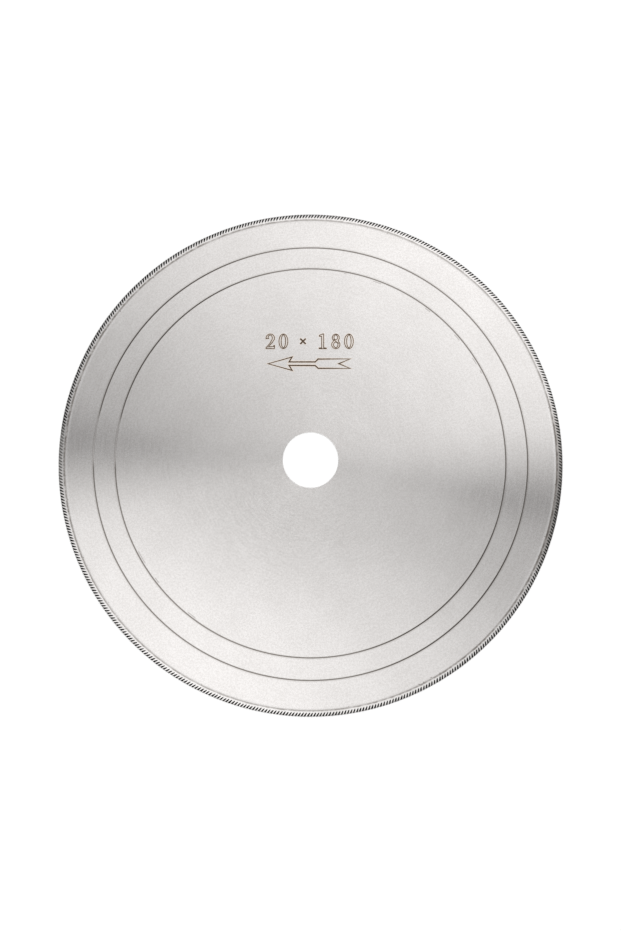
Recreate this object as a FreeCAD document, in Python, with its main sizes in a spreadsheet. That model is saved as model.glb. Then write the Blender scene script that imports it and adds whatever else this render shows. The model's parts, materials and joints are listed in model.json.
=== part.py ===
import FreeCAD, Part
import os
import sys
import Sketcher

# A thin diamond saw blade with a notched rim, for cutting stone and glass.
# It lies flat. The origin is the centre of the bore, halfway through the thickness,
# and +Z is the bore's axis. Lengths are in millimetres and angles in degrees.

SIZES = [
    ("blade_diameter", 180, "outer edge of the rim"),
    ("bore_diameter", 20, "hole for the spindle"),
    ("plate_thickness", 0.3, "flat plate between the bore and the rim"),
    ("rim_rise", 0.05, "how far the rolled rim stands above the plate on each face"),
    ("rim_land", 0.15, "rolled rim between the notch roots and the shoulder"),
    ("shoulder_run", 0.3, "radial width of the slope from the plate up to the rim"),
    ("ring_inset", 12.45, "from the outer edge in to the groove of the outer tension ring"),
    ("ring_spacing", 7.8, "from the outer tension ring's groove in to the inner one's"),
    ("ring_width", 0.5, "mouth of a tension ring's groove"),
    ("ring_depth", 0.05, "depth of a tension ring's groove below the face of the plate"),
    ("notch_count", 524, "slanted notches in the rim"),
    ("notch_mouth", 0.75, "width of a notch at the outer edge"),
    ("notch_depth", 1.85, "radial depth of a notch"),
    ("notch_slant", 30, "lean of a notch from the radius, clockwise on its way out"),
    ("rim_stock", 0.5, "spare width of the turned blank, which the notch punch trims off"),
]

doc = FreeCAD.newDocument("saw_blade")
sheet = doc.addObject("Spreadsheet::Sheet", "Sizes")
for row, (alias, value, note) in enumerate(SIZES, start=1):
    sheet.set(f"A{row}", alias)
    sheet.set(f"B{row}", str(value))
    sheet.set(f"C{row}", note)
    sheet.setAlias(f"B{row}", alias)
doc.recompute()

# Formulas of the sheet that more than one outline needs.
rim_radius = "Sizes.blade_diameter / 2"
plate_face = "Sizes.plate_thickness / 2"
rim_face = f"({plate_face} + Sizes.rim_rise)"


def new_body(name):
    body = doc.addObject("PartDesign::Body", name)
    body.Label = name
    return body


def origin_feature(body, role):
    return next(feature for feature in body.Origin.OriginFeatures if feature.Role == role)


def new_feature(body, kind, name, **settings):
    """Adds a feature to a body, makes it the body's tip and works it out."""
    feature = body.newObject(f"PartDesign::{kind}", name)
    for setting, value in settings.items():
        setattr(feature, setting, value)
    body.Tip = feature
    doc.recompute()
    return feature


def new_sketch(body, name, plane):
    sketch = body.newObject("Sketcher::SketchObject", name)
    sketch.AttachmentSupport = [(origin_feature(body, plane), "")]
    sketch.MapMode = "FlatFace"
    return sketch


def add_outline(sketch, corners):
    """Draws a closed outline. Each corner is named and tied to two formulas, across and up."""
    origin, start, end = (-1, 1), 1, 2
    first = sketch.GeometryCount
    lines = range(first, first + len(corners))
    spots = [FreeCAD.Vector(*map(sheet.evalExpression, spot), 0) for spot in corners.values()]
    for here, there in zip(spots, spots[1:] + spots[:1]):
        sketch.addGeometry(Part.LineSegment(here, there), False)
    for line in lines:
        following = line + 1 if line + 1 in lines else first
        sketch.addConstraint(Sketcher.Constraint("Coincident", line, end, following, start))
    for line, spot, (corner, formulas) in zip(lines, spots, corners.items()):
        for direction, distance, formula in zip("XY", spot, formulas):
            rule = Sketcher.Constraint(f"Distance{direction}", *origin, line, start, distance)
            label = f"{corner}_{direction.lower()}"
            sketch.renameConstraint(sketch.addConstraint(rule), label)
            sketch.setExpression(f"Constraints.{label}", formula)


def half_section():
    """The upper half of the blank's section: the bore, the plate, the shoulder and the rim."""
    bore = "Sizes.bore_diameter / 2"
    rim_start = f"{rim_radius} - Sizes.notch_depth - Sizes.rim_land"
    blank_edge = f"{rim_radius} + Sizes.rim_stock"
    return {
        "bore_middle": (bore, "0"),
        "bore_edge": (bore, plate_face),
        "shoulder_foot": (f"{rim_start} - Sizes.shoulder_run", plate_face),
        "shoulder_top": (rim_start, rim_face),
        "blank_edge": (blank_edge, rim_face),
        "blank_middle": (blank_edge, "0"),
    }


def ring_groove(name, radius):
    """The V section of one tension ring's groove, in the upper face of the plate."""
    return {
        f"{name}_inner": (f"{radius} - Sizes.ring_width / 2", plate_face),
        f"{name}_bottom": (radius, f"{plate_face} - Sizes.ring_depth"),
        f"{name}_outer": (f"{radius} + Sizes.ring_width / 2", plate_face),
    }


def notch_corners():
    """The V of the notch at +X: its root, and its mouth's lower and upper corners."""
    return {
        "root": (f"{rim_radius} - Sizes.notch_depth", "Sizes.notch_depth * tan(Sizes.notch_slant)"),
        "lower": (rim_radius, "-Sizes.notch_mouth / 2"),
        "upper": (rim_radius, "Sizes.notch_mouth / 2"),
    }


def punch_outline():
    """A notch, with the stock outside it and outside the land that leads to the next notch."""
    notch = notch_corners()
    outside = f"({rim_radius} + 2 * Sizes.rim_stock)"
    below = "(Sizes.notch_mouth / 2)"
    pitch = "(360 / Sizes.notch_count)"

    def at_next_notch(radius):
        across = f"{radius} * cos({pitch}) + {below} * sin({pitch})"
        up = f"{radius} * sin({pitch}) - {below} * cos({pitch})"
        return across, up

    return {
        "root": notch["root"],
        "lower": notch["lower"],
        "lower_outside": (outside, f"-{below}"),
        "next_outside": at_next_notch(outside),
        "next_lower": at_next_notch(rim_radius),
        "upper": notch["upper"],
    }


def repeat_round_rim(body, feature, name):
    axis = (origin_feature(body, "Z_Axis"), [""])
    pattern = new_feature(body, "PolarPattern", name, Originals=[feature], Axis=axis, Angle=360)
    pattern.setExpression("Occurrences", "Sizes.notch_count")
    doc.recompute()


def volume_after_cut(body, name, volume_before):
    """The body's volume, once it is sure that the cut took something off."""
    if body.Shape.Volume >= volume_before:
        sys.exit(f"{name} cut nothing from {body.Label}")
    return body.Shape.Volume


def make_steel_disc():
    """The steel: a plate with a thicker rolled rim, two tension rings a face, and the notches."""
    body = new_body("steel_disc")
    z_axis = (origin_feature(body, "Z_Axis"), [""])
    mid_plane = (origin_feature(body, "XY_Plane"), [""])

    blank = new_sketch(body, "blank_section", "XZ_Plane")
    add_outline(blank, half_section())
    turned = new_feature(body, "Revolution", "turned_half", Profile=blank, ReferenceAxis=z_axis)
    volume = body.Shape.Volume

    outer_ring = f"{rim_radius} - Sizes.ring_inset"
    rings = new_sketch(body, "ring_sections", "XZ_Plane")
    add_outline(rings, ring_groove("outer", outer_ring))
    add_outline(rings, ring_groove("inner", f"{outer_ring} - Sizes.ring_spacing"))
    rolled = new_feature(body, "Groove", "tension_rings", Profile=rings, ReferenceAxis=z_axis)
    volume = volume_after_cut(body, "tension_rings", volume)
    new_feature(body, "Mirrored", "both_faces", Originals=[turned, rolled], MirrorPlane=mid_plane)
    if not 1.99 < body.Shape.Volume / volume < 2.01:
        sys.exit("the two faces of steel_disc differ")
    volume = body.Shape.Volume

    punch = new_sketch(body, "punch_section", "XY_Plane")
    add_outline(punch, punch_outline())
    notch = new_feature(body, "Pocket", "notch", Profile=punch, Type="ThroughAll", Midplane=True)
    volume = volume_after_cut(body, "notch", volume)
    repeat_round_rim(body, notch, "notches")
    volume_after_cut(body, "notches", volume)
    return body


def make_diamond_fill():
    """The diamond bond pressed into the notches, flush with the rim: one solid for each."""
    body = new_body("diamond_fill")
    body.AllowCompound = True
    wedge = new_sketch(body, "wedge_section", "XY_Plane")
    add_outline(wedge, notch_corners())
    pressed = new_feature(body, "Pad", "wedge", Profile=wedge, Midplane=True)
    pressed.setExpression("Length", f"2 * {rim_face}")
    doc.recompute()
    repeat_round_rim(body, pressed, "wedges")
    return body


pieces = [make_steel_disc(), make_diamond_fill()]
for item in doc.Objects:
    if {"Invalid", "Error"} & set(item.State):
        sys.exit(f"{item.Label} failed: {item.State}")
for piece in pieces:
    if piece.Shape.isNull() or not piece.Shape.isValid():
        sys.exit(f"{piece.Label} has no valid shape")

os.makedirs("parts", exist_ok=True)
for piece in pieces:
    piece.Shape.exportStep(f"parts/{piece.Label}.step")
    print(f"{piece.Label}: {len(piece.Shape.Solids)} solids, {piece.Shape.Volume:.1f} cubic mm")
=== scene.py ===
import json
import math
import random

import bmesh
import bpy
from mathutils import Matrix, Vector

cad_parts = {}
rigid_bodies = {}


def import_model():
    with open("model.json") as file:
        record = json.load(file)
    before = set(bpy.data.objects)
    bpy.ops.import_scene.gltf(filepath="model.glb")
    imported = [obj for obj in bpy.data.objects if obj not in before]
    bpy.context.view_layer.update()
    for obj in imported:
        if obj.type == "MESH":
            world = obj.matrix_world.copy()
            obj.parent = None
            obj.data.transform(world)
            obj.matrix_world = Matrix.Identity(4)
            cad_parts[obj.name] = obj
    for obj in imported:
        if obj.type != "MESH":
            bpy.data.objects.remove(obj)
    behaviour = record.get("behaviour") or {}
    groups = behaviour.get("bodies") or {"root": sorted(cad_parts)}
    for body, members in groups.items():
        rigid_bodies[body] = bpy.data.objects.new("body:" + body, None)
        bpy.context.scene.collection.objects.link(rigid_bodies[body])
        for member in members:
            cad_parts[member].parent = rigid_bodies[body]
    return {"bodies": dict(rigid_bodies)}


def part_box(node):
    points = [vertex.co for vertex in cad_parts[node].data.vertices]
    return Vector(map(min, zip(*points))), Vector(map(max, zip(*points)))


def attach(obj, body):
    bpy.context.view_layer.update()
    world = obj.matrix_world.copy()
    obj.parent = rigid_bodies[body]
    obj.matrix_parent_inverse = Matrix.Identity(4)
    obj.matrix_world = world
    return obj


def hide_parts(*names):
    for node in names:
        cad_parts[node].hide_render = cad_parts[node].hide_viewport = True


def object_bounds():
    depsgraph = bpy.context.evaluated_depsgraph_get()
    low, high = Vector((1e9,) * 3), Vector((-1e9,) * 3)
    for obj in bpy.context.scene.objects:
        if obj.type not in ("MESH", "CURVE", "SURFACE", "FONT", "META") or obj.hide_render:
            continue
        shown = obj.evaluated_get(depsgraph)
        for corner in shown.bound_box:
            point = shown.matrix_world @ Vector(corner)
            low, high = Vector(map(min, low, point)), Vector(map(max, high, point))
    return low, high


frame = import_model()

cadBox = [list(corner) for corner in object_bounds()]
mm = 0.001
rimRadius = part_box("steel_disc")[1][0]
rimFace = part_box("steel_disc")[1][2]  # height of the rim's upper face
edgeRadius, rimHeight = rimRadius / mm, rimFace / mm  # the same two in millimetres
body = next(iter(frame["bodies"]))
random.seed(180)

photo = {
    "width": 621,
    "height": 931,
    "rimCentreX": 310.06,  # pixels are counted from 0 at the middle of the first one
    "rimCentreY": 465.16,
    "rimHeight": 502.0,  # the blade from its top edge to its bottom edge
    "cameraDistance": 3.7 * rimRadius,
    "cameraTilt": math.radians(5.2),
}


# Camera: it looks down at the blade from a little towards the photograph's bottom
def makeCamera():
    tilt, away = photo["cameraTilt"], photo["cameraDistance"]
    place = Vector((0, -away * math.sin(tilt), away * math.cos(tilt)))
    toTop = (Vector((0, rimRadius, rimFace)) - place).normalized()
    toBottom = (Vector((0, -rimRadius, rimFace)) - place).normalized()
    lens = photo["rimHeight"] / 2 / math.tan(toTop.angle(toBottom) / 2)  # in pixels
    data = bpy.data.cameras.new("photoCamera")
    data.sensor_width = 36
    data.lens = lens / photo["height"] * data.sensor_width
    data.shift_x = ((photo["width"] - 1) / 2 - photo["rimCentreX"]) / photo["height"]
    data.shift_y = (photo["rimCentreY"] - (photo["height"] - 1) / 2) / photo["height"]
    data.clip_start, data.clip_end = 0.01, 10
    camera = bpy.data.objects.new("photoCamera", data)
    camera.location = place
    camera.rotation_euler = (toTop + toBottom).to_track_quat("-Z", "Y").to_euler()
    bpy.context.scene.collection.objects.link(camera)
    bpy.context.scene.camera = camera
    bpy.context.view_layer.update()
    return camera, lens


camera, lensPixels = makeCamera()
print("camera set, lens", round(camera.data.lens, 2), "mm")


def onPlate(pixelX, pixelY, height):
    # where a pixel of the photograph falls on a level plane
    ray = Vector((pixelX - photo["rimCentreX"], photo["rimCentreY"] - pixelY, -lensPixels))
    ray = camera.matrix_world.to_3x3() @ ray
    start = camera.matrix_world.translation
    spot = start + ray * ((height - start.z) / ray.z)
    return spot.x, spot.y


# Mesh helpers: points are in millimetres, and a row is a run of numbers of points
def onCircle(radius, turn, height):
    return radius * math.cos(turn), radius * math.sin(turn), height


def strip(first, second):
    # faces between two rows
    return [(first[i], first[i + 1], second[i + 1], second[i]) for i in range(len(first) - 1)]


def hoop(outer, inner):
    # faces between two rows that close into rings
    return [(outer[i - 1], outer[i], inner[i], inner[i - 1]) for i in range(len(outer))]


def ends(upper, nextUpper, lower, nextLower):
    # a face at each end of two rows, from the upper side down to the lower one
    return [(upper[i], nextUpper[i], nextLower[i], lower[i]) for i in (0, -1)]


def showMesh(mesh, material):
    mesh.materials.append(material)
    piece = bpy.data.objects.new(mesh.name, mesh)
    bpy.context.scene.collection.objects.link(piece)
    return piece


def makePiece(name, points, faces, material, sharpFrom):
    # points that coincide are joined, and edges that bend by more than sharpFrom are sharp
    build = bmesh.new()
    spots = [build.verts.new(Vector(point) * mm) for point in points]
    for face in faces:
        build.faces.new([spots[number] for number in face])
    bmesh.ops.remove_doubles(build, verts=build.verts, dist=0.0001 * mm)
    bmesh.ops.recalc_face_normals(build, faces=build.faces)
    mesh = bpy.data.meshes.new(name)
    build.to_mesh(mesh)
    build.free()
    mesh.shade_smooth()
    mesh.set_sharp_from_angle(angle=sharpFrom)
    return showMesh(mesh, material)


# Material helpers
def newMaterial(name):
    material = bpy.data.materials.new(name)
    material.use_nodes = True
    nodes = material.node_tree.nodes
    nodes.clear()
    output = nodes.new("ShaderNodeOutputMaterial")
    shader = nodes.new("ShaderNodeBsdfPrincipled")
    material.node_tree.links.new(shader.outputs[0], output.inputs[0])
    return material, shader


class Wires:
    # short ways to add nodes to one material or world and join them
    def __init__(self, tree):
        self.tree = tree

    def add(self, kind, values=None, **settings):
        node = self.tree.nodes.new(kind)
        for name, value in settings.items():
            setattr(node, name, value)
        for socket, value in (values or {}).items():
            self.feed(node.inputs[socket], value)
        return node

    def feed(self, socket, value):
        if isinstance(value, bpy.types.NodeSocket):
            self.tree.links.new(value, socket)
        else:
            socket.default_value = value

    def maths(self, operation, first, second=0.0):
        return self.add("ShaderNodeMath", {0: first, 1: second}, operation=operation).outputs[0]

    def total(self, first, *others):
        for other in others:
            first = self.maths("ADD", first, other)
        return first

    def product(self, first, *others):
        for other in others:
            first = self.maths("MULTIPLY", first, other)
        return first

    def distance(self, value, place):
        return self.maths("ABSOLUTE", self.maths("SUBTRACT", value, place))

    def vector(self, x, y, z):
        return self.add("ShaderNodeCombineXYZ", {0: x, 1: y, 2: z}).outputs[0]

    def turned(self, arrow, axis, angle):
        values = {"Vector": arrow, "Angle": angle}
        return self.add("ShaderNodeVectorRotate", values, rotation_type=axis).outputs[0]

    def noise(self, where, scale, detail=2.0, roughness=0.5):
        values = {"Vector": where, "Scale": scale, "Detail": detail, "Roughness": roughness}
        return self.add("ShaderNodeTexNoise", values).outputs["Fac"]

    def band(self, value, low, high, toLow=0.0, toHigh=1.0):
        # a smooth step from one number to another as value goes from low to high
        values = {"Value": value, "From Min": low, "From Max": high, "To Min": toLow, "To Max": toHigh}
        return self.add("ShaderNodeMapRange", values, interpolation_type="SMOOTHSTEP").outputs[0]

    def fade(self, value, near, far):
        # 1 up to near and 0 from far on
        return self.band(value, near, far, 1.0, 0.0)

    def tint(self, share, full):
        # a factor on the colour: 1 where the share is 0, and full where it is 1
        return self.band(share, 0.0, 1.0, 1.0, full)

    def spread(self, noise, low, high):
        # noise lies mostly between 0.3 and 0.7, and is stretched from there to low and high
        return self.band(noise, 0.3, 0.7, low, high)

    def swing(self, noise, amount):
        return self.spread(noise, -amount, amount)

    def mix(self, share, first, second):
        values = {"Factor": share, "A": first, "B": second}
        node = self.add("ShaderNodeMix", data_type="RGBA")
        for socket in node.inputs:
            if socket.enabled and socket.name in values:
                self.feed(socket, values[socket.name])
        return next(socket for socket in node.outputs if socket.enabled)

    def scaled(self, colour, factor):
        node = self.add("ShaderNodeVectorMath", operation="SCALE")
        self.feed(node.inputs[0], colour)
        self.feed(node.inputs["Scale"], factor)
        return node.outputs[0]

    def bump(self, height, strength, depth, below=None):
        values = {"Strength": strength, "Distance": depth, "Height": height}
        if below:
            values["Normal"] = below
        return self.add("ShaderNodeBump", values).outputs[0]

    def polar(self):
        # distance from the bore's axis in millimetres, the direction as a cosine and a sine, and the place
        place = self.add("ShaderNodeTexCoord").outputs["Object"]
        parts = self.add("ShaderNodeSeparateXYZ", {0: place}).outputs
        squares = self.total(self.product(parts[0], parts[0]), self.product(parts[1], parts[1]))
        radius = self.maths("MAXIMUM", self.maths("SQRT", squares), 0.0001)
        direction = (self.maths("DIVIDE", parts[0], radius), self.maths("DIVIDE", parts[1], radius))
        return self.maths("DIVIDE", radius, mm), direction, place

    def onRing(self, direction, scale, across=0.0):
        # where to read noise that runs round the bore
        cosine, sine = direction
        return self.vector(self.product(cosine, scale), self.product(sine, scale), across)

    def towards(self, direction, angle):
        # 1 in the direction of the angle, 0 across it and -1 opposite
        cosine, sine = direction
        return self.total(self.product(cosine, math.cos(angle)), self.product(sine, math.sin(angle)))

    def sector(self, direction, middle, edge, core):
        # 1 near the middle direction and 0 past the edge. edge and core are cosines of the angle from it
        return self.band(self.towards(direction, middle), edge, core)


# Sizes of the blade, in millimetres
bladeSizes = {
    "plateHalf": 0.15,  # half the plate's thickness
    "boreRadius": 10.0,
    "boreRound": 0.04,
    "boreSteps": ((2, 0), (1, 0), (0.3, 0.3), (0, 1)),  # out and down, as shares of its rounding
    "plainRings": (45, 22),  # rings of points on the flat plate, which keep its faces short
    "ringRadii": (77.55, 69.75),
    "ringHalfWidth": 0.25,
    "ringLip": 0.006,
    # half a groove from the plate in: across as a share of its half width, and up as a share of its lip
    "grooveSteps": ((1.6, 0), (1.25, 0.1), (1.02, 1), (0.82, 0.2), (0.45, -4.6), (0, -8.3)),
    "rimWidth": 1.85,
    "shoulderRun": 0.3,
    "shoulderSteps": (0.15, 0.5, 0.85, 1),
    "footRun": 0.45,  # the plate rises a little before the shoulder
    "footRise": 0.022,
    "footSteps": ((0.1, 0.9), (0.9, 0.1), (1, 0), (2, 0)),  # in and up, as shares of its run and rise
    "pastRoot": (1, 2.5),  # rows of points past a notch, as shares of the rounding of the lands' edges
    "sharpFrom": math.radians(32),
}

# Steel: ground round the bore, so its highlights run out from the middle
steelLook = {
    # the brightness of this colour and the roughness come from the same fit as the light's numbers
    "colour": (0.557, 0.540, 0.530, 1),
    "warmth": 0.05,  # how much browner the steel turns where it is dark
    "roughness": 0.141,
    "roughSwing": 0.02,
    "roughLines": (0.2, 0.8),  # the noise of the grinding lines where the steel is smoothest and roughest
    "anisotropy": 0.9,
    "crossTurn": 0.25,  # turns the highlights across the grinding lines
    # how fine the mottle, the clouds and the grinding lines are, and how far they move the colour
    "mottleScale": 1700.0,
    "mottle": 0.055,
    "cloudScale": 60.0,
    "cloud": 0.02,
    "linesRound": 7.0,
    "linesAcross": 2.4,
    "lines": 0.025,
    "linesBump": (0.25, 0.000004),  # strength, and depth in metres
    "mottleBump": (0.2, 0.000006),
}

# Wear, marks and painted light and shade on the steel. A shade is the share of the colour that is left.
# Directions are angles from +X, and where two numbers follow one, they are the cosines of its edge and
# of its core. Widths and distances are in millimetres, and where there are two, the effect ends or starts
# between them
marksAndShade = {
    "grooveShade": 0.31,  # painted shade in the ring grooves
    "grooveShadeDarkest": 0.10,  # where the painted shade is darkest, at the photograph's lower right and upper left
    "grooveShadeDarkFrom": 0.3,  # where the painted shade starts to darken, from 0 at the sides to 1 at those corners
    "grooveShadeEdge": (0.14, 0.30),  # from the groove's middle
    "grooveLit": (math.radians(174.5), 0.988, 0.999),  # the painted groove shade is nearly gone here, where the grooves reflect more light
    "grooveLitShade": 0.85,
    "tailShade": 0.84,  # a faint dark tail outside each groove
    "tailStart": (0.0, 0.1),
    "tailEnd": (0.2, 1.0),
    "slipShade": 0.62,  # short marks beside the inner ring, where the rolling tool slipped
    "slipInset": 0.66,
    "slipEdge": (0.05, 0.24),
    "slipCore": 0.6,  # how much of its length a mark keeps its full strength, as a share
    # where each mark starts and ends, in degrees
    "slips": ((26.8, 28.2), (29.8, 32.6), (38.6, 41.5), (50.9, 53.4), (67.9, 71.1), (79, 80),
              (207.5, 212.7), (217, 219.3), (230.8, 234.6)),
    "lineInset": 0.02,  # painted shade: a dark line along the rim's shoulder, inside the middle of its slope
    "lineEdge": (0.16, 0.5),
    "lineWander": 0.1,
    "lineScale": 30.0,  # of the noise round the rim that moves the line
    "lineDepth": (1.4, 0.5),  # how strongly it shows, from where the noise is low to where it is high
    "lineShade": (0.37, 0.63),  # the strongest line's shade at its darkest and its palest
    "linePale": math.radians(-115),  # the painted shade is palest here and opposite
    "pitScale": 1300.0,
    "pitShare": (0.74, 0.80),
    "pitReach": (0.5, 0.9),
    "paintedHighlight": 1.13,  # a painted highlight: a bright line inside the shoulder, here and opposite
    "highlightTurn": math.radians(-12),
    "highlightReach": (0.82, 1.0),  # the cosines of its edge and of its core
    "highlightInset": 0.75,
    "highlightHalf": 0.6,
    "pressedShade": 0.66,  # the rim is darker here
    "pressed": (math.radians(-7), 0.906, 1.0),
    "pressedStart": (-0.35, 0.0),  # from the shoulder's dark line
    "landShine": 1.05,  # the lands between the notches are rolled brighter than the plate
    "landStart": (0.2, 0.6),
    # painted shade on the blade's rounded edge
    "edgeShade": 0.75,
    "edgeStart": (0.22, 0.02),  # in from the blade's edge
}


def grindMarks(wires, radius, direction, place):
    # mottle, clouds and grinding lines, as a factor on the colour
    look = steelLook
    mottle = wires.noise(place, look["mottleScale"], 2.0, 0.6)
    cloud = wires.noise(place, look["cloudScale"])
    around = wires.onRing(direction, look["linesRound"], wires.product(radius, look["linesAcross"]))
    lines = wires.noise(around, 1.0, 4.0, 0.7)
    shade = wires.total(wires.swing(mottle, look["mottle"]), wires.swing(cloud, look["cloud"]),
                        wires.swing(lines, look["lines"]), 1.0)
    return shade, lines, mottle


def paintedGrooveShade(wires, radius, direction):
    # painted shade in both ring grooves, darkest at the lower right and upper left and nearly gone towards
    # -X, with a faint dark tail outside each
    darkTurn = wires.product(*direction, -2.0)  # 1 at the lower right and upper left, 0 at +X and +Y
    paintedShade = wires.band(darkTurn, marksAndShade["grooveShadeDarkFrom"], 1.0, marksAndShade["grooveShade"], marksAndShade["grooveShadeDarkest"])
    grooveLit = wires.sector(direction, *marksAndShade["grooveLit"])
    paintedShade = wires.total(paintedShade, wires.band(grooveLit, 0.0, 1.0, 0.0, marksAndShade["grooveLitShade"] - marksAndShade["grooveShade"]))
    shade = 1.0
    for ring in bladeSizes["ringRadii"]:
        beside = wires.maths("SUBTRACT", radius, ring)
        groove = wires.band(wires.maths("ABSOLUTE", beside), *marksAndShade["grooveShadeEdge"], paintedShade, 1.0)
        tail = wires.product(wires.band(beside, *marksAndShade["tailStart"]), wires.fade(beside, *marksAndShade["tailEnd"]))
        shade = wires.product(shade, groove, wires.tint(tail, marksAndShade["tailShade"]))
    return shade


def slipMarks(wires, radius, direction, place):
    # on the front face only
    away = wires.distance(radius, bladeSizes["ringRadii"][1] - marksAndShade["slipInset"])
    cosine, sine = direction
    turn = wires.maths("ARCTAN2", wires.product(sine, -1.0), wires.product(cosine, -1.0))
    turn = wires.total(turn, math.pi)  # from 0 at +X to a whole turn
    marks = 0.0
    for start, end in marksAndShade["slips"]:
        half = math.radians(end - start) / 2
        off = wires.distance(turn, math.radians(start) + half)
        marks = wires.total(marks, wires.fade(off, marksAndShade["slipCore"] * half, half))
    height = wires.add("ShaderNodeSeparateXYZ", {0: place}).outputs[2]
    front = wires.maths("GREATER_THAN", height, 0.0)
    marks = wires.product(marks, wires.fade(away, *marksAndShade["slipEdge"]), front)
    return wires.tint(marks, marksAndShade["slipShade"])


def rimShadeAndMarks(wires, radius, direction, place):
    # painted shade along the rim's shoulder, made uneven by noise, with pits beside it and a painted
    # highlight inside it, the rim darker in one direction, brighter lands, and painted shade at the
    # blade's edge
    slopeMiddle = edgeRadius - bladeSizes["rimWidth"] - bladeSizes["shoulderRun"] / 2
    lineRadius = slopeMiddle - marksAndShade["lineInset"]
    worn = wires.noise(wires.onRing(direction, marksAndShade["lineScale"]), 1.0, 3.0, 0.7)
    beside = wires.total(radius, wires.swing(worn, marksAndShade["lineWander"]))
    beside = wires.maths("SUBTRACT", beside, lineRadius)
    off = wires.maths("ABSOLUTE", beside)
    line = wires.product(wires.fade(off, *marksAndShade["lineEdge"]), wires.spread(worn, *marksAndShade["lineDepth"]))
    pits = wires.band(wires.noise(place, marksAndShade["pitScale"], 0.0), *marksAndShade["pitShare"])
    line = wires.total(line, wires.product(pits, wires.fade(off, *marksAndShade["pitReach"])))
    pale = wires.towards(direction, marksAndShade["linePale"])
    darkest = wires.band(wires.product(pale, pale), 0.0, 1.0, *marksAndShade["lineShade"])
    shade = wires.band(line, 0.0, marksAndShade["lineDepth"][0], 1.0, darkest)
    bright = wires.fade(wires.distance(beside, -marksAndShade["highlightInset"]), 0.0, marksAndShade["highlightHalf"])
    sideways = wires.maths("ABSOLUTE", wires.towards(direction, marksAndShade["highlightTurn"]))
    bright = wires.product(bright, wires.band(sideways, *marksAndShade["highlightReach"]))
    pressed = wires.product(wires.sector(direction, *marksAndShade["pressed"]),
                            wires.band(beside, *marksAndShade["pressedStart"]))
    shade = wires.product(shade, wires.tint(bright, marksAndShade["paintedHighlight"]),
                          wires.tint(pressed, marksAndShade["pressedShade"]))
    landStart = [lineRadius + out for out in marksAndShade["landStart"]]
    edgeStart = [edgeRadius - inwards for inwards in marksAndShade["edgeStart"]]
    return wires.product(shade, wires.band(radius, *landStart, 1.0, marksAndShade["landShine"]),
                         wires.band(radius, *edgeStart, 1.0, marksAndShade["edgeShade"]))


def steelColour(wires):
    radius, direction, place = wires.polar()
    shade, lines, mottle = grindMarks(wires, radius, direction, place)
    shade = wires.product(shade, paintedGrooveShade(wires, radius, direction),
                          slipMarks(wires, radius, direction, place),
                          rimShadeAndMarks(wires, radius, direction, place))
    tone = [wires.maths("POWER", shade, 1 + steelLook["warmth"] * channel) for channel in (0, 1, 2)]
    colour = wires.add("ShaderNodeVectorMath", {0: steelLook["colour"][:3], 1: wires.vector(*tone)},
                       operation="MULTIPLY").outputs[0]
    return colour, lines, mottle


def finishSteel(wires, shader, lines, mottle):
    look = steelLook
    shader.inputs["Metallic"].default_value = 1
    shader.inputs["Anisotropic"].default_value = look["anisotropy"]
    shader.inputs["Anisotropic Rotation"].default_value = look["crossTurn"]
    tangent = wires.add("ShaderNodeTangent", direction_type="RADIAL", axis="Z")
    wires.feed(shader.inputs["Tangent"], tangent.outputs[0])
    smoothest, roughest = look["roughness"] - look["roughSwing"], look["roughness"] + look["roughSwing"]
    rough = wires.band(lines, *look["roughLines"], smoothest, roughest)
    wires.feed(shader.inputs["Roughness"], rough)
    ground = wires.bump(lines, *look["linesBump"])
    wires.feed(shader.inputs["Normal"], wires.bump(mottle, *look["mottleBump"], ground))


def makeSteel():
    material, shader = newMaterial("groundSteel")
    wires = Wires(material.node_tree)
    colour, lines, mottle = steelColour(wires)
    wires.feed(shader.inputs["Base Color"], colour)
    finishSteel(wires, shader, lines, mottle)
    return material


# Marking: lines burnt into the steel by a laser, dark in the middle with a pale edge. The numbers in
# pairs are distances from the line's middle, as shares of half its width
markLook = {
    "line": (0.072, 0.049, 0.034, 1),
    "lineEdge": (0.8, 1.2),
    "raggedness": 0.12,
    "halo": (0.640, 0.560, 0.490, 1),
    "haloEdge": (1.2, 2.5),
}


def makeMarkedSteel():
    material, shader = newMaterial("markedSteel")
    wires = Wires(material.node_tree)
    colour, lines, mottle = steelColour(wires)
    away = wires.add("ShaderNodeAttribute", attribute_name="fromLine").outputs["Fac"]
    burnt = wires.total(away, wires.swing(mottle, markLook["raggedness"]))
    colour = wires.mix(wires.fade(away, *markLook["haloEdge"]), colour, markLook["halo"])
    colour = wires.mix(wires.fade(burnt, *markLook["lineEdge"]), colour, markLook["line"])
    wires.feed(shader.inputs["Base Color"], colour)
    finishSteel(wires, shader, lines, mottle)
    return material


# Diamond bond: nearly black, partly its own colour and partly painted shade of the notch it fills, with
# pale grains of diamond in it
bondLook = {
    "dark": (0.006, 0.0058, 0.0055, 1),
    "worn": (0.022, 0.021, 0.020, 1),
    "wornScale": 2600.0,
    "wornShare": (0.45, 0.7),
    "grain": (0.22, 0.23, 0.20, 1),
    "grainScale": 9000.0,
    "grainSize": (0.16, 0.3),
    "pickScale": 6000.0,  # noise that picks which grains show
    "pickAbove": 0.56,
    "dust": (0.105, 0.102, 0.098, 1),  # pale dust lies in the notches at the photograph's left
    "dusty": (math.radians(179), 0.990, 0.998),  # its direction, and the cosines of its edge and core
    "roughness": 0.8,
    "grainRoughness": 0.2,
    "specular": 0.15,
    "gritScale": 7000.0,
    "gritBump": (0.8, 0.00002),  # strength, and depth in metres
}


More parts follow.
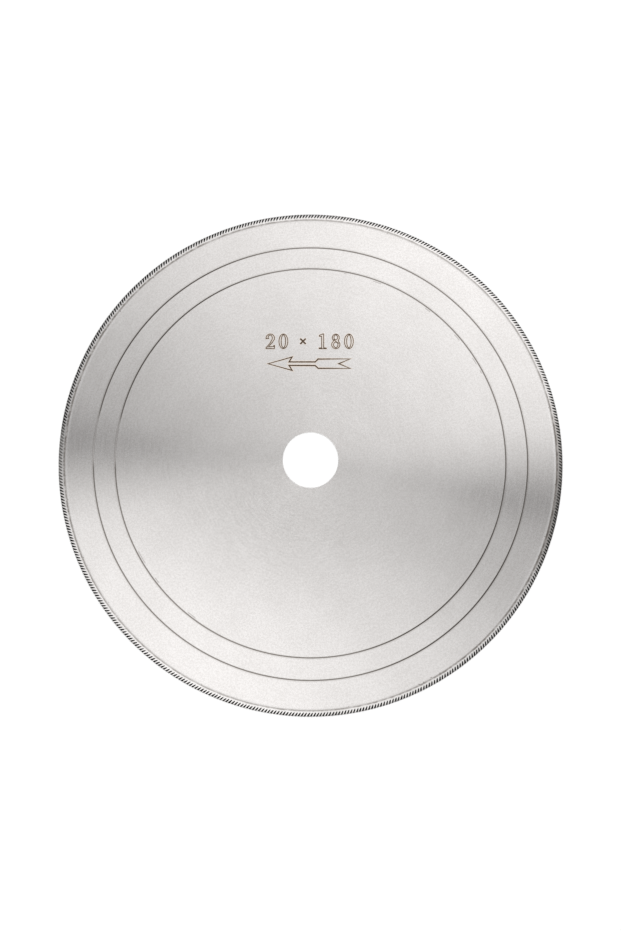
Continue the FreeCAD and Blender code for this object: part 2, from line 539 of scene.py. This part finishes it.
def makeBond():
    look = bondLook
    material, shader = newMaterial("diamondBond")
    wires = Wires(material.node_tree)
    direction, place = wires.polar()[1:]
    worn = wires.band(wires.noise(place, look["wornScale"], 3.0, 0.6), *look["wornShare"])
    cells = wires.add("ShaderNodeTexVoronoi", {"Vector": place, "Scale": look["grainScale"]})
    picked = wires.maths("GREATER_THAN", wires.noise(place, look["pickScale"], 0.0), look["pickAbove"])
    grain = wires.product(wires.fade(cells.outputs["Distance"], *look["grainSize"]), picked)
    colour = wires.mix(grain, wires.mix(worn, look["dark"], look["worn"]), look["grain"])
    colour = wires.mix(wires.sector(direction, *look["dusty"]), colour, look["dust"])
    wires.feed(shader.inputs["Base Color"], colour)
    shader.inputs["Specular IOR Level"].default_value = look["specular"]
    rough = wires.band(grain, 0.0, 1.0, look["roughness"], look["grainRoughness"])
    wires.feed(shader.inputs["Roughness"], rough)
    grit = wires.noise(place, look["gritScale"], 3.0, 0.7)
    wires.feed(shader.inputs["Normal"], wires.bump(grit, *look["gritBump"]))
    return material


steel = makeSteel()
markedSteel = makeMarkedSteel()
bond = makeBond()
print("materials made")


# Notches: one struck shape serves the steel's cut and the bond that fills it
notchSizes = {
    "count": 524,
    "mouth": 0.77,  # in millimetres, as are the depth and the rounding of the lands' edges
    "depth": 1.36,
    "edgeRound": 0.035,
    "slant": math.radians(30),
    "taper": 0.42,  # how much narrower it is at the root than at the mouth, as a share
    "rootPower": 5,  # the higher this is, the squarer the root
    "steps": (0.25, 0.45, 0.62, 0.76, 0.87, 0.95, 1),  # rows down a notch, as shares of its depth
    # how much wider the notches were struck at the photograph's lower right and upper left, and the
    # first of these directions
    "wander": 0.05,
    "widest": math.radians(-35),
    "unevenness": 0.07,  # of their size, as a share of it
    "drift": 0.00025,  # of their turn and of their lean, in radians
    "twist": 0.012,
}
pitch = math.tau / notchSizes["count"]


def strikeNotches():
    sizes = notchSizes
    uneven = sizes["unevenness"]
    struck = []
    for number in range(sizes["count"]):
        wander = 1 + sizes["wander"] * math.cos(2 * (number * pitch - sizes["widest"]))
        struck.append({
            "turn": number * pitch + random.gauss(0, sizes["drift"]),
            "halfMouth": sizes["mouth"] / 2 * wander * (1 + random.uniform(-uneven, uneven)),
            "depth": sizes["depth"] * (1 + random.uniform(-uneven, uneven) / 2),
            "lean": math.tan(sizes["slant"] + random.gauss(0, sizes["twist"])),
        })
    return struck


def halfWidth(notch, step):
    # nearly parallel walls that draw in to a rounded root. step is 0 at the mouth and 1 at the root
    rounding = math.sqrt(max(1 - step ** notchSizes["rootPower"], 0))
    return notch["halfMouth"] * (1 - notchSizes["taper"] * step) * rounding


def inNotch(notch, depth, aside):
    # a point at a depth below the rim, and aside from the notch's slanted middle line
    radius = edgeRadius - depth
    turn = notch["turn"] + (depth * notch["lean"] + aside) / radius
    return radius * math.cos(turn), radius * math.sin(turn)


notches = strikeNotches()


# Blade: the rim is built land by land, and the plate inside it as rings
def acrossLand(near, far, depths, step, wallHeight, landHeight):
    # five points across the land between two notches, from wall to wall
    edge = notchSizes["edgeRound"]
    nearWall, farWall = halfWidth(near, step), -halfWidth(far, step)
    spots = [inNotch(near, depths[0], nearWall), inNotch(near, depths[0], nearWall + edge)]
    spots += [inNotch(far, depths[1], farWall - edge), inNotch(far, depths[1], farWall)]
    spots.insert(2, [(a + b) / 2 for a, b in zip(spots[1], spots[2])])
    heights = [wallHeight, landHeight, landHeight, landHeight, wallHeight]
    return [(*spot, height) for spot, height in zip(spots, heights)]


def footTurn(number):
    # the notches' slant carried on to the rim's foot
    foot = edgeRadius - bladeSizes["rimWidth"]
    return number * pitch + bladeSizes["rimWidth"] * math.tan(notchSizes["slant"]) / foot


def landRows():
    # the points of all lands, row by row from the blade's edge in to the rim's foot
    edge = notchSizes["edgeRound"]
    top, lower = rimHeight, rimHeight - edge
    lands = []
    for number, near in enumerate(notches):
        far = notches[(number + 1) % len(notches)]
        land = [acrossLand(near, far, (0, 0), 0, lower, lower)]
        land.append(acrossLand(near, far, (edge, edge), 0, lower, top))
        for step in notchSizes["steps"]:
            depths = (step * near["depth"], step * far["depth"])
            land.append(acrossLand(near, far, depths, step, lower, top))
        for share in bladeSizes["pastRoot"]:
            depths = (near["depth"] + share * edge, far["depth"] + share * edge)
            land.append(acrossLand(near, far, depths, 1, top, top))
        turns = [footTurn(number + quarter / 4) for quarter in range(5)]
        land.append([onCircle(edgeRadius - bladeSizes["rimWidth"], turn, top) for turn in turns])
        lands.append(land)
    return list(zip(*lands))


def smoothStep(value):
    return value * value * (3 - 2 * value)


def plateRings():
    # radius and height of the plate's upper face, from the foot of the rim in to the bore
    sizes = bladeSizes
    half, rounding = sizes["plateHalf"], sizes["boreRound"]
    foot = half + sizes["footRise"]
    start = edgeRadius - sizes["rimWidth"]
    rings = []
    for step in sizes["shoulderSteps"]:
        rise = (1 - smoothStep(step)) * (rimHeight - foot)
        rings.append((start - step * sizes["shoulderRun"], foot + rise))
    start -= sizes["shoulderRun"]
    for inwards, up in sizes["footSteps"]:
        rings.append((start - inwards * sizes["footRun"], half + up * sizes["footRise"]))
    outerHalf = sizes["grooveSteps"]
    groove = outerHalf + tuple((-across, up) for across, up in reversed(outerHalf[:-1]))
    for ring in sizes["ringRadii"]:
        for across, up in groove:
            rings.append((ring + across * sizes["ringHalfWidth"], half + up * sizes["ringLip"]))
    rings += [(radius, half) for radius in sizes["plainRings"]]
    for out, down in sizes["boreSteps"]:
        rings.append((sizes["boreRadius"] + out * rounding, half - down * rounding))
    return rings


def joinFoot(lands, ring):
    # faces between the lands' inner ends and the plate's first ring
    faces = []
    for number, land in enumerate(lands):
        near, far = ring[number], ring[(number + 1) % len(ring)]
        faces += [(near, land[0], land[1]), (near, land[1], land[2]), (near, land[2], far)]
        faces += [(far, land[2], land[3]), (far, land[3], land[4])]
    return faces


def makeBlade():
    points, faces = [], []

    def keep(spots):
        points.extend(spots)
        return range(len(points) - len(spots), len(points))

    turns = [footTurn(number) for number in range(notchSizes["count"])]
    rims, bores = [], []
    for side in (1, -1):
        rows = [[keep([(x, y, side * z) for x, y, z in land]) for land in row] for row in landRows()]
        for outer, inner in zip(rows, rows[1:]):
            for a, b in zip(outer, inner):
                faces += strip(a, b)
        rings = [keep([onCircle(radius, turn, side * height) for turn in turns])
                 for radius, height in plateRings()]
        faces += joinFoot(rows[-1], rings[0])
        for outer, inner in zip(rings, rings[1:]):
            faces += hoop(outer, inner)
        rims.append(rows)
        bores.append(rings[-1])
    upper, lower = rims
    for a, b in zip(upper[0], lower[0]):
        faces += strip(a, b)
    for row in range(len(notchSizes["steps"]) + 1):
        for land in zip(upper[row], upper[row + 1], lower[row], lower[row + 1]):
            faces += ends(*land)
    faces += hoop(*bores)
    return makePiece("steelBlade", points, faces, steel, bladeSizes["sharpFrom"])


blade = makeBlade()
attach(blade, body)
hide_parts("steel_disc")
print("blade:", len(blade.data.polygons), "faces")


# Diamond bond: a gritty wedge in every notch, a hair below the rim's face
fillSizes = {
    "columns": (-1, -0.5, 0, 0.5, 1),  # across a notch, as shares of its half width
    "firstSteps": (0, 0.12),  # rows near the mouth, before the notch's own
    "sharpFrom": math.radians(25),
    # the rest are shares of the rounding of the lands' edges
    "intoWall": 0.15,
    "behindEdge": 0.3,
    "belowFace": 0.55,
    "grit": (-0.5, 0.35),
    "ragged": 0.5,
}


def makeFill():
    sizes, edge = fillSizes, notchSizes["edgeRound"]
    columns, steps = sizes["columns"], sizes["firstSteps"] + notchSizes["steps"]
    face = rimHeight - sizes["belowFace"] * edge
    points, faces = [], []
    for notch in notches:
        grids = []
        for side in (1, -1):
            rows = []
            for step in steps:
                wide = halfWidth(notch, step) + sizes["intoWall"] * edge
                depth = step * notch["depth"] + sizes["behindEdge"] * edge
                for column in columns:
                    inside = abs(column) < 1 and 0 < step < 1
                    grit = random.uniform(*sizes["grit"]) * edge if inside else 0
                    back = random.uniform(0, sizes["ragged"]) * edge if step == 0 else 0
                    points.append((*inNotch(notch, depth + back, column * wide), side * (face + grit)))
                rows.append(range(len(points) - len(columns), len(points)))
            grids.append(rows)
        for rows in grids:
            for a, b in zip(rows, rows[1:]):
                faces += strip(a, b)
        upper, lower = grids
        faces += strip(upper[0], lower[0]) + strip(upper[-1], lower[-1])
        for rows in zip(upper, upper[1:], lower, lower[1:]):
            faces += ends(*rows)
    return makePiece("diamondFill", points, faces, bond, sizes["sharpFrom"])


fill = makeFill()
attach(fill, body)
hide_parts("diamond_fill")
print("diamond fill:", len(fill.data.polygons), "faces")


# Marking: size numbers and the arrow that shows which way the blade turns, in pixels of the photograph
marking = {
    "digitCentres": (269.8, 282.9, 302.5, 322.2, 335.3, 348.4),
    "row": 340.8,
    "arrowRow": 363.2,
    "arrowTip": 267.6,
    "barbs": (291.6, 6.7),  # place along the arrow, and reach to each side of its middle
    "neck": (288.6, 1.8),
    "flareStart": (314.7, 1.8),
    "flareEnd": (317.6, 4.6),
    "tailTips": (349.7, 4.8),
    "tailNotch": 338.3,
    "ovalStep": 12,  # degrees between the points of an oval
    # the rest is in millimetres: half the width of each burnt line, and a line's cross-section with its
    # pale edge, as distance from its middle and height above the plate
    "digitLine": 0.155,
    "arrowLine": 0.25,
    "section": ((0.63, 0.0006), (0.34, 0.003), (0.18, 0.006), (0.08, 0.007)),
    "mitreLimit": 2.2,  # how far a corner may stand out, in widths of the line
}


# The outlines of the digits are in pixels to the right of their middle and above it. With each goes
# whether it closes
def oval(x, y, wide, high, start=0, end=360):
    steps = round(abs(end - start) / marking["ovalStep"])
    turns = [math.radians(start + (end - start) * step / steps) for step in range(steps + 1)]
    if abs(end - start) == 360:
        turns = turns[:-1]
    return [(x + wide * math.cos(turn), y + high * math.sin(turn)) for turn in turns]


def digitOne():
    outline = [(-3.4, 6.0), (-3.4, 5.0), (-1.0, 4.9), (-1.0, -6.5), (-3.6, -6.7), (-3.6, -7.4)]
    outline += [(3.6, -7.4), (3.6, -6.7), (1.0, -6.5), (1.0, 7.3), (0.0, 7.3)]
    return [(outline, True)]


def digitTwo():
    outline = [(-4.2, 2.6)] + oval(0, 3.2, 4.2, 4.1, 170, -25)
    outline += [(1.6, -1.6), (-1.7, -5.3), (3.2, -5.3), (3.6, -4.2), (4.3, -4.2), (4.0, -7.3)]
    outline += [(-4.2, -7.3), (-4.2, -6.4), (-0.6, -2.4)] + oval(-0.2, 3.2, 2.2, 3.0, -30, 160)
    outline += [(-1.6, 2.9)]
    return [(outline, True)]


def digitEight():
    outline = oval(0, 3.6, 3.5, 3.6, -48, 228) + oval(0, -3.3, 4.1, 4.0, 128, 412)
    outline.pop()
    upper, lower = oval(0, 3.9, 1.8, 2.4), oval(0, -3.5, 2.2, 2.7)
    band = [(-2.5, 1.9), (2.9, -2.2)]
    return [(outline, True), (upper, True), (lower, True), (band, False)]


def digitZero():
    return [(oval(0, 0, 4.4, 7.3), True), (oval(0, 0, 2.2, 6.4), True)]


def crossSign():
    arm, half = 2.7, 0.55
    quarter = [(half, 0), (arm, arm - half), (arm - half, arm)]
    outline = []
    for _ in range(4):
        outline += quarter
        quarter = [(-y, x) for x, y in quarter]
    return [(outline, True)]


def arrowShape():
    sizes = marking
    upper = [sizes["barbs"], sizes["neck"], sizes["flareStart"], sizes["flareEnd"], sizes["tailTips"]]
    outline = [(sizes["arrowTip"], 0)] + upper + [(sizes["tailNotch"], 0)]
    return outline + [(x, -reach) for x, reach in reversed(upper)]


def addLine(path, closed, halfLine, points, distances, faces):
    # a burnt line along the path, mitred at its corners and highest in the middle
    half = marking["section"]
    middle = (0, half[-1][1])
    section = [*half, middle, *((-away, height) for away, height in reversed(half))]
    rows = []
    for number, spot in enumerate(path):
        before = path[number - 1] if closed or number else None
        after = path[(number + 1) % len(path)] if closed or number + 1 < len(path) else None
        into = (spot - before).normalized() if before else (after - spot).normalized()
        out = (after - spot).normalized() if after else into
        side = Vector((-into.y - out.y, into.x + out.x)).normalized()
        reach = 1 / max(side.dot(Vector((-into.y, into.x))), 1 / marking["mitreLimit"])
        for away, height in section:
            points.append((*(spot + side * (away * reach)), bladeSizes["plateHalf"] + height))
            distances.append(abs(away) / halfLine)
        rows.append(range(len(points) - len(section), len(points)))
    if closed:
        rows.append(rows[0])
    for first, second in zip(rows, rows[1:]):
        faces.extend(strip(first, second))


def makeMarking():
    face = bladeSizes["plateHalf"] * mm
    glyphs = [digitTwo(), digitZero(), crossSign(), digitOne(), digitEight(), digitZero()]
    paths = []
    for centre, glyph in zip(marking["digitCentres"], glyphs):
        for path, closed in glyph:
            path = [(centre + x, marking["row"] - y) for x, y in path]
            paths.append((path, closed, marking["digitLine"]))
    arrow = [(x, marking["arrowRow"] - y) for x, y in arrowShape()]
    paths.append((arrow, True, marking["arrowLine"]))
    points, distances, faces = [], [], []
    for path, closed, halfLine in paths:
        spots = [Vector(onPlate(x, y, face)) / mm for x, y in path]
        addLine(spots, closed, halfLine, points, distances, faces)
    mesh = bpy.data.meshes.new("sizeMarking")
    mesh.from_pydata([Vector(point) * mm for point in points], [], faces)
    away = mesh.attributes.new("fromLine", "FLOAT", "POINT")
    away.data.foreach_set("value", distances)
    mesh.shade_smooth()
    return showMesh(mesh, markedSteel)


sizeMarking = makeMarking()
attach(sizeMarking, body)
print("marking:", len(sizeMarking.data.polygons), "faces")


# Floor and light
studio = {
    "floorColour": (0.93, 0.93, 0.93, 1),
    "floorCloud": 30.0,  # how fine its faint clouds are
    "floorShade": (0.99, 1.0),
    "floorRoughness": 0.9,
    "floorSpecular": 0.1,
    "floorReach": 3.0,  # in metres from the middle
    "strength": 1.0,
    # the numbers from light to overheadUp, apart from brightest, weren't chosen by hand: another
    # program fitted them to the photograph's brightness, with the steel's own brightness and roughness.
    # brightness round about, by share of the half turn clockwise from +X. The other half is the same
    "turns": (0.0, 0.055, 0.10, 0.20, 0.33, 0.50, 0.60, 0.75, 0.90, 0.955, 1.0),
    "light": (0.975, 0.385, 0.715, 0.895, 1.31, 1.595, 1.735, 1.725, 1.55, 1.37, 0.975),
    "brightest": 2.5,  # the colour ramp holds shares of this
    "twist": 0.014,  # turns the pattern, as a share of half a turn
    "lean": math.radians(4.48),  # how far the pattern leans up the photograph
    "leanRight": math.radians(0.39),  # and to its right
    "overhead": 1.00,  # brightness straight above, where a soft light hides the pattern
    "slopeRight": 1.12,  # how much brighter that light grows to the photograph's right
    "slopeUp": 1.94,  # and towards its top
    "overheadEdge": math.radians(9.9),
    "overheadCore": math.radians(7.5),
    "overheadRight": -0.002,  # its middle, as the sine of its angle from straight up
    "overheadUp": 0.037,
    "level": 1.0,  # the even light lower down
    "levelBelow": 0.5,  # as the sine of the height above the horizon
    "patternAbove": 0.82,
}


def makeFloor():
    material, shader = newMaterial("paleFloor")
    wires = Wires(material.node_tree)
    place = wires.add("ShaderNodeTexCoord").outputs["Object"]
    shade = wires.spread(wires.noise(place, studio["floorCloud"]), *studio["floorShade"])
    wires.feed(shader.inputs["Base Color"], wires.scaled(studio["floorColour"][:3], shade))
    shader.inputs["Roughness"].default_value = studio["floorRoughness"]
    shader.inputs["Specular IOR Level"].default_value = studio["floorSpecular"]
    low, reach = cadBox[0][2], studio["floorReach"]
    corners = [(-reach, -reach, low), (reach, -reach, low), (reach, reach, low), (-reach, reach, low)]
    mesh = bpy.data.meshes.new("floor")
    mesh.from_pydata(corners, [], [(0, 1, 2, 3)])
    floor = showMesh(mesh, material)


def lightAround(wires, right, up):
    # the pattern of bright and dark, by direction round the blade
    turn = wires.maths("ARCTAN2", wires.product(up, -1.0), right)
    share = wires.total(wires.maths("DIVIDE", turn, math.pi), studio["twist"])
    ramp = wires.add("ShaderNodeValToRGB", {0: wires.maths("FRACT", share)})
    stops = ramp.color_ramp.elements
    while len(stops) < len(studio["turns"]):
        stops.new(0.5)
    for stop, place, light in zip(stops, studio["turns"], studio["light"]):
        stop.position = place
        stop.color = (light / studio["brightest"],) * 3 + (1,)
    return wires.scaled(ramp.outputs[0], studio["brightest"])


def lightOverhead(wires, toSky, right, up):
    # the light straight above, and how far it covers the pattern
    middle = Vector((studio["overheadRight"], studio["overheadUp"], 1)).normalized()
    fromMiddle = wires.add("ShaderNodeVectorMath", {0: toSky, 1: middle}, operation="DOT_PRODUCT")
    edge, core = math.cos(studio["overheadEdge"]), math.cos(studio["overheadCore"])
    covered = wires.band(fromMiddle.outputs["Value"], edge, core)
    light = wires.total(wires.product(right, studio["slopeRight"]),
                        wires.product(up, studio["slopeUp"]), studio["overhead"])
    return wires.vector(light, light, light), covered


def makeLight():
    scene = bpy.context.scene
    world = bpy.data.worlds.new("softStudio")
    scene.world = world
    world.use_nodes = True
    world.node_tree.nodes.clear()
    wires = Wires(world.node_tree)
    toSky = wires.add("ShaderNodeTexCoord").outputs["Generated"]
    toSky = wires.turned(toSky, "X_AXIS", studio["lean"])
    toSky = wires.turned(toSky, "Y_AXIS", -studio["leanRight"])
    right, up, high = wires.add("ShaderNodeSeparateXYZ", {0: toSky}).outputs
    overhead, covered = lightOverhead(wires, toSky, right, up)
    sky = wires.mix(covered, lightAround(wires, right, up), overhead)
    level = (studio["level"],) * 3 + (1,)
    sky = wires.mix(wires.band(high, studio["levelBelow"], studio["patternAbove"]), level, sky)
    shine = wires.add("ShaderNodeBackground", {"Color": sky, "Strength": studio["strength"]})
    output = wires.add("ShaderNodeOutputWorld")
    wires.feed(output.inputs[0], shine.outputs[0])
    scene.view_settings.view_transform = "Standard"


makeFloor()
makeLight()
print("floor and light set")
